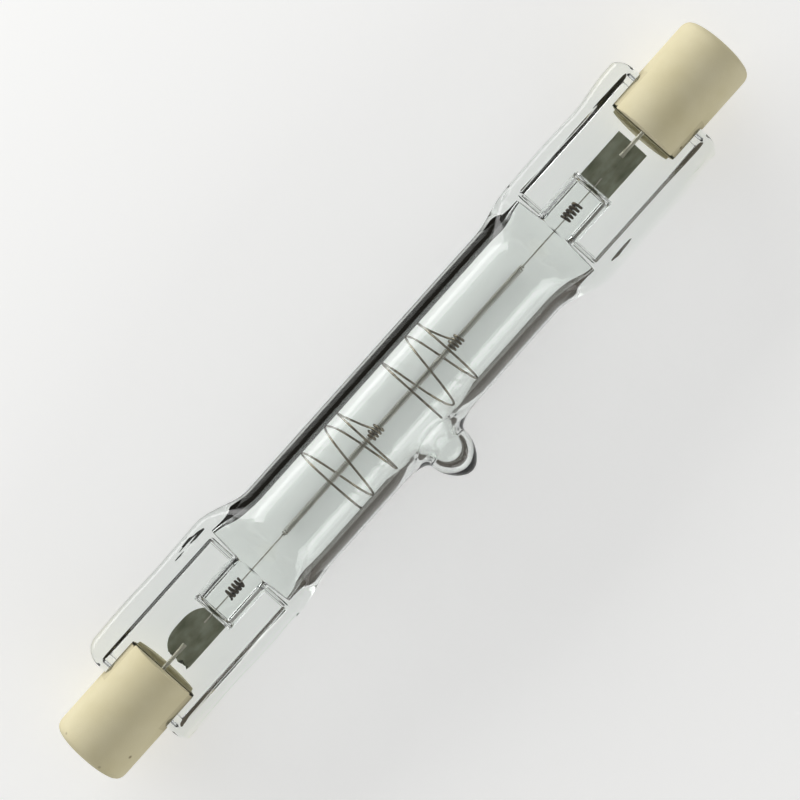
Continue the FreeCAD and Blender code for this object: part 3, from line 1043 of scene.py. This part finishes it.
@dataclass
class CeramicCap:
    """One slotted ceramic cap, with a rounded rim round its contact recess."""

    end: End
    mouth: float = 39.15 * MM
    inner_end: float = 29.5 * MM
    radius: float = 3.5 * MM
    rim_radius: float = 0.9 * MM
    edge_radius: float = 0.1 * MM
    recess_radius: float = 1.9 * MM
    recess_edge: float = 0.25 * MM
    recess_floor: float = 37.45 * MM
    disc_radius: float = 1.65 * MM
    disc_back: float = 36.85 * MM
    stem_radius: float = 0.67 * MM
    slot_end: float = 33.4 * MM
    slot_half_height: float = 1.85 * MM
    tool_margin: float = 2.0 * MM
    worn_edge: float = 0.08 * MM
    worn_steps: int = 3
    worn_above: float = 50.0
    sharp_above: float = 32.0
    corner_points: int = 7
    sides: int = 120
    finish: FiredCeramic = STEATITE

    def slot_tool(self) -> bpy.types.Object:
        """Returns a block that fills the slot and stands out past the cap on every open side."""
        reach = 2 * self.radius
        corner = np.array([-1.0, 1.0])
        x, y, z = np.meshgrid(
            np.array([self.inner_end - self.tool_margin, self.slot_end]) * self.end.value,
            corner * reach,
            corner * self.slot_half_height,
            indexing="ij",
        )
        faces = [[0, 1, 3, 2], [4, 6, 7, 5], [0, 4, 5, 1], [2, 3, 7, 6], [0, 2, 6, 4], [1, 5, 7, 3]]
        faces = [face[::self.end.value] for face in faces]
        return make_piece(f"slot_tool_{self.end.word}", np.stack([x, y, z], axis=-1), faces)

    def build(self) -> None:
        """Turns the cap, cuts its slot and wears its sharp edges."""
        corners = [
            (self.mouth, self.recess_radius, self.recess_edge),
            (self.mouth, self.radius, self.rim_radius),
            (self.inner_end, self.radius, self.edge_radius),
            (self.inner_end, self.stem_radius, 0.0),
            (self.disc_back, self.stem_radius, 0.0),
            (self.disc_back, self.disc_radius, 0.0),
            (self.recess_floor, self.disc_radius, 0.0),
            (self.recess_floor, self.recess_radius, 0.0),
        ]
        outline = rounded(corners, self.corner_points)
        points, faces = turned_mesh(outline, self.end, self.sides, True)
        cap = make_piece(f"steatite_cap_{self.end.word}", points, faces)
        tool = self.slot_tool()
        slot = cap.modifiers.new("slot", "BOOLEAN")
        slot.operation = "DIFFERENCE"
        slot.object = tool
        edges = cap.modifiers.new("worn_edges", "BEVEL")
        edges.width = self.worn_edge
        edges.segments = self.worn_steps
        edges.angle_limit = math.radians(self.worn_above)
        cut = bpy.data.meshes.new_from_object(cap.evaluated_get(bpy.context.evaluated_depsgraph_get()))
        cap.modifiers.clear()
        cap.data = cut
        cap.data.shade_smooth()
        cap.data.set_sharp_from_angle(angle=math.radians(self.sharp_above))
        bpy.data.objects.remove(tool)
        dress(cap, self.finish.material(), "steatite", f"ceramic_cap_{self.end.word}")


@dataclass
class ContactButton:
    """One contact: a low dome at the bottom of the recess, on a stem that runs back round the lead.

    The cap hides the stem, so that it is solid here.
    """

    end: End
    face: float = 37.45 * MM
    back: float = 36.85 * MM
    radius: float = 1.6 * MM
    stem_radius: float = 0.65 * MM
    stem_end: float = 34.85 * MM
    dome_fall: float = 0.1 * MM
    # The shares of the radius where the dome's corners start and end, and how many they are.
    dome_span: tuple[float, float, int] = (0.1, 0.9, 10)
    edge_fall: float = 0.12 * MM
    edge_radius: float = 0.1 * MM
    corner_points: int = 5
    sides: int = 64
    finish: WorkedMetal = NICKEL

    def build(self) -> None:
        """Turns the button: its face falls by the square of the radius, to a rounded edge."""
        radius = np.linspace(*self.dome_span) * self.radius
        height = self.face - self.dome_fall * (radius / self.radius) ** 2
        corners = np.stack([height, radius, 0 * radius], axis=-1).tolist() + [
            (self.face - self.edge_fall, self.radius, self.edge_radius),
            (self.back, self.radius, 0.0),
            (self.back, self.stem_radius, 0.0),
            (self.stem_end, self.stem_radius, 0.0),
        ]
        outline = rounded(corners, self.corner_points)
        points, faces = turned_mesh(outline, self.end, self.sides, False)
        piece = make_piece(f"button_{self.end.word}", points, faces)
        dress(piece, self.finish.material(), "nickel_contact", f"contact_{self.end.word}")


@dataclass
class CapCement:
    """The cement in one slot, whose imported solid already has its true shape."""

    end: End
    finish: FiredCeramic = CEMENT

    def build(self) -> None:
        """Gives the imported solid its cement."""
        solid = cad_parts[f"cap_cement_{self.end.word}"]
        solid.data.materials.clear()
        solid.data.materials.append(self.finish.material())
        LOG.info("%s: packed solid", solid.name)


@dataclass
class Studio:
    """A pale floor under the tube, a card and a soft lamp on each side, and a camera straight above."""

    floor_height: float = -4.66 * MM
    floor_half: float = 2.5
    floor_colour: str = "#ECECEA"
    floor_glow: float = 0.35
    card_distance: float = 5.25 * MM
    card_width: float = 60.0 * MM
    card_half_length: float = 60.0 * MM
    notch: tuple[float, float] = (-3.3 * MM, 2.4 * MM)
    notch_slant: float = 2.6 * MM
    notch_depth: float = 9.0 * MM
    card_lift: float = 0.05 * MM
    card_tones: tuple[str, str] = ("#2E2B27", "#7A736A")
    room_light: float = 0.36
    # Each strip lamp's name, place and radiance, and the width and height of both.
    strips: tuple = (
        ("side_strip_far", (0.0, 0.2, 0.045), 4.6),
        ("side_strip_near", (0.0, -0.2, 0.055), 1.5),
    )
    strip_size: tuple[float, float] = (0.4, 0.085)
    camera_height: float = 0.2
    lens: float = 108.9
    roll: float = math.radians(-48.2)
    # How far right and up in its own picture the camera stands from the lamp's middle.
    aside: tuple[float, float] = (-0.25 * MM, 0.04 * MM)

    def lay_floor(self) -> None:
        """Lays a pale floor, which camera, glass and metal see a little lighter than the lamps make it."""
        corner = np.array([[-1, -1, 0], [1, -1, 0], [1, 1, 0], [-1, 1, 0]]) * self.floor_half
        floor = make_piece("floor", corner + [0, 0, self.floor_height], [[0, 1, 2, 3]])
        material, tree = surface_tree("painted_board")
        paint = {"Base Color": linear(self.floor_colour), "Roughness": 0.9}
        board = add_node(tree, "ShaderNodeBsdfPrincipled", paint, {})
        path = add_node(tree, "ShaderNodeLightPath", {}, {}).outputs
        largest = {"operation": "MAXIMUM"}
        rays = {0: path["Is Glossy Ray"], 1: path["Is Transmission Ray"]}
        bent = add_node(tree, "ShaderNodeMath", largest, rays)
        seen = add_node(tree, "ShaderNodeMath", largest, {0: path["Is Camera Ray"], 1: bent.outputs[0]})
        times = {"operation": "MULTIPLY", 1: self.floor_glow}
        glow = add_node(tree, "ShaderNodeMath", times, {0: seen.outputs[0]})
        backing = add_node(tree, "ShaderNodeEmission", {}, {"Strength": glow.outputs[0]})
        both = add_node(tree, "ShaderNodeAddShader", {}, {0: board.outputs[0], 1: backing.outputs[0]})
        add_node(tree, "ShaderNodeOutputMaterial", {}, {"Surface": both.outputs[0]})
        floor.data.materials.append(material)

    def lay_cards(self) -> None:
        """Lays a dark and a grey card beside the lamp, the grey one notched for the tip.

        Only rays out of the glass meet them, and for the dark one reflections too. Steep walls of clear
        glass look sideways, so that the cards draw them as dark lines, as a photographer's black flags do.
        """
        end, near, out = self.card_half_length, self.card_distance, self.card_distance + self.card_width
        (low, high), deep, slant = self.notch, self.notch_depth, self.notch_slant
        far_side = [(-end, near), (end, near), (end, out), (-end, out)]
        notch = [(high + slant, -near), (high, -deep), (low, -deep), (low - slant, -near)]
        near_side = [(-end, -out), (end, -out), (end, -near), *notch, (-end, -near)]
        for number, (plan, tone) in enumerate(zip((far_side, near_side), self.card_tones), start=1):
            material, tree = surface_tree(f"card_paper_{number}")
            matt = add_node(tree, "ShaderNodeBsdfDiffuse", {"Color": linear(tone)}, {})
            add_node(tree, "ShaderNodeOutputMaterial", {}, {"Surface": matt.outputs[0]})
            height = self.floor_height + self.card_lift
            corners = np.array([(x, y, height) for x, y in plan])
            card = make_piece(f"card_{number}", corners, [list(range(len(plan)))])
            card.data.materials.append(material)
            card.visible_camera = False
            card.visible_diffuse = False
            card.visible_glossy = plan is far_side
            card.visible_shadow = False

    def light_room(self) -> None:
        """Lights the room evenly from all round."""
        world = bpy.data.worlds.new("room")
        world.use_nodes = True
        world.node_tree.nodes.clear()
        white = {"Color": (1.0, 1.0, 1.0, 1.0), "Strength": self.room_light}
        room = add_node(world.node_tree, "ShaderNodeBackground", white, {})
        add_node(world.node_tree, "ShaderNodeOutputWorld", {}, {"Surface": room.outputs[0]})
        bpy.context.scene.world = world

    def hang_lamp(self, name: str, place: tuple, size: tuple, radiance: float) -> None:
        """Hangs one soft lamp that looks at the object.

        Args:
            name: the lamp's name.
            place: where it hangs.
            size: its width and height.
            radiance: how bright its face is, where 1 is as bright as a white surface in full light.
        """
        light = bpy.data.lights.new(name, "AREA")
        light.shape = "RECTANGLE"
        light.size, light.size_y = size
        light.energy = radiance * math.pi * size[0] * size[1]
        lamp = bpy.data.objects.new(name, light)
        lamp.location = place
        lamp.rotation_euler = Vector(place).to_track_quat("Z", "Y").to_euler()
        lamp.visible_camera = False
        bpy.context.scene.collection.objects.link(lamp)

    def set_camera(self) -> None:
        """Sets the camera straight above, turned so that the lamp runs from lower left to upper right."""
        data = bpy.data.cameras.new("camera")
        data.lens = self.lens
        data.clip_start = 0.01
        camera = bpy.data.objects.new("camera", data)
        turn, (right, up) = self.roll, self.aside
        x = right * math.cos(turn) - up * math.sin(turn)
        y = right * math.sin(turn) + up * math.cos(turn)
        camera.location = (x, y, self.camera_height)
        camera.rotation_euler = (0.0, 0.0, turn)
        bpy.context.scene.collection.objects.link(camera)
        bpy.context.scene.camera = camera

    def build(self) -> None:
        """Sets up floor, cards, room, lamps and camera."""
        self.lay_floor()
        self.lay_cards()
        self.light_room()
        for name, place, radiance in self.strips:
            self.hang_lamp(name, place, self.strip_size, radiance)
        self.set_camera()
        bpy.context.scene.view_settings.view_transform = "Standard"


def main() -> None:
    """Builds every piece of the lamp and the studio round it."""
    logging.basicConfig(level=logging.INFO, format="%(name)s %(message)s")
    QuartzEnvelope().build()
    Filament().build()
    for number, grip_middle in enumerate(GRIP_MIDDLES, start=1):
        SpiralSupport(number, grip_middle).build()
    for end in End:
        for part in (SealingFoil, OuterLead, CeramicCap, CapCement, ContactButton):
            part(end).build()
    Studio().build()


if __name__ == "__main__":
    main()
